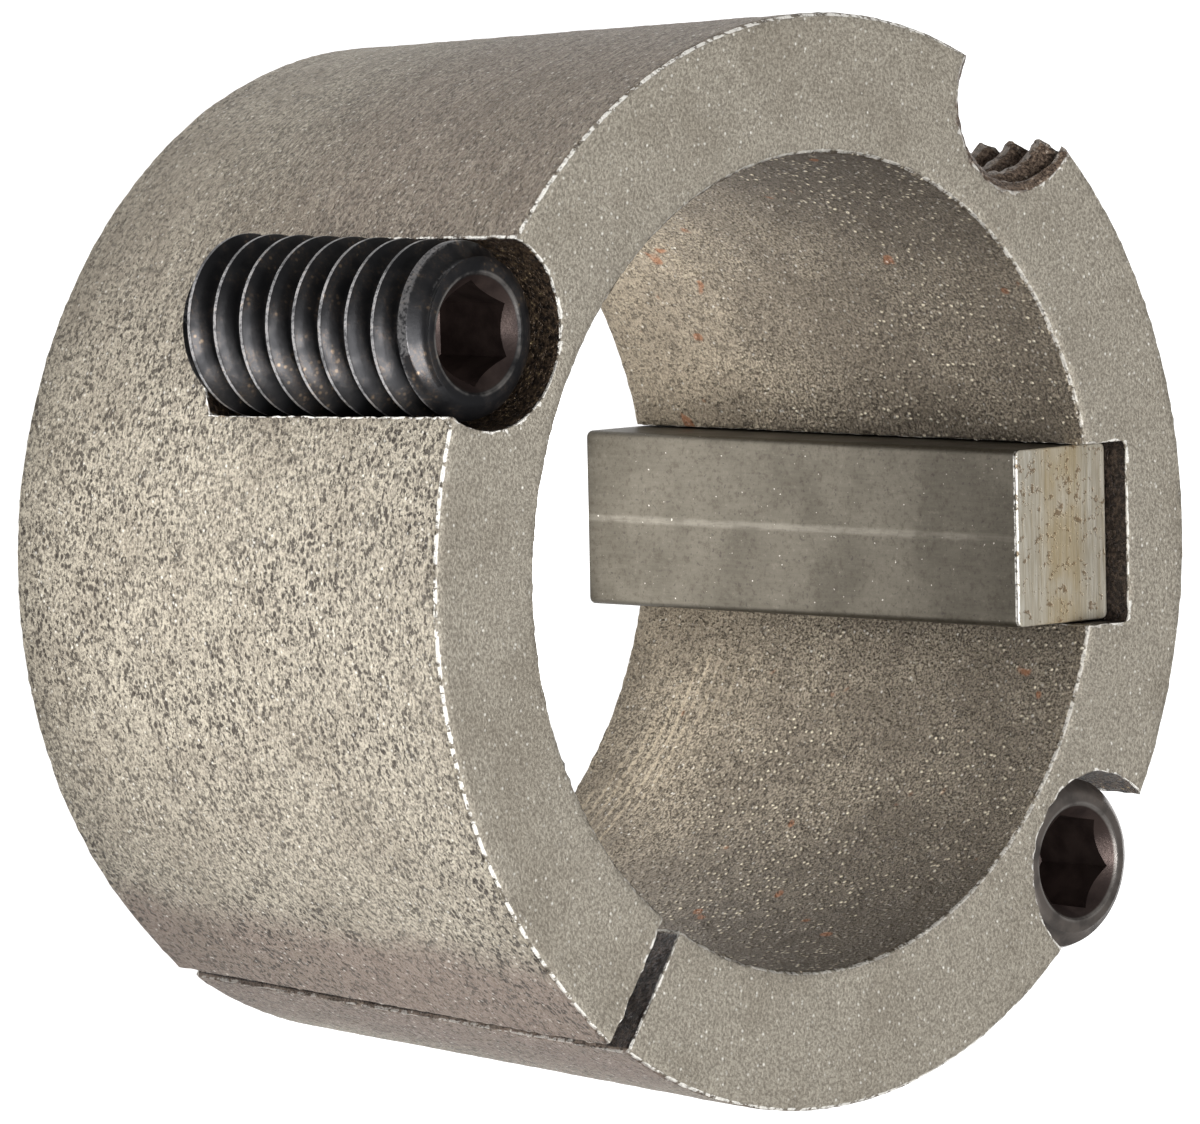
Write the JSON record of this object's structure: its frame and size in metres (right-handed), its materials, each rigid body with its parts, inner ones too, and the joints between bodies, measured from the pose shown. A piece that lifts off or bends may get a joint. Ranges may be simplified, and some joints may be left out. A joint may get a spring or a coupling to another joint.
{
  "type": "taper bush",
  "caption": "Split taper bush that locks a hub on a keyed shaft, with plain and tapped half-holes in its rim, set screws standing in them, and a key in its bore.",
  "frame": {"origin": "on the shaft's axis in the plane of the small end, on which the bush stands", "axes": "+Z along the shaft's axis from the small end to the large end, +X from the axis to the keyway and its key"},
  "size_m": [0.0384, 0.0384, 0.0222],
  "materials": {
    "cast_bush": "fine grainy grey casting, machined and lightly oiled",
    "key_steel": "dull drawn steel with sawn ends",
    "screw_steel": "black oxide, oiled"
  },
  "bodies": {
    "root": {"bush": "cast_bush", "key": "key_steel", "set_screw_1": "screw_steel", "set_screw_2": "screw_steel"}
  },
  "joints": []
}
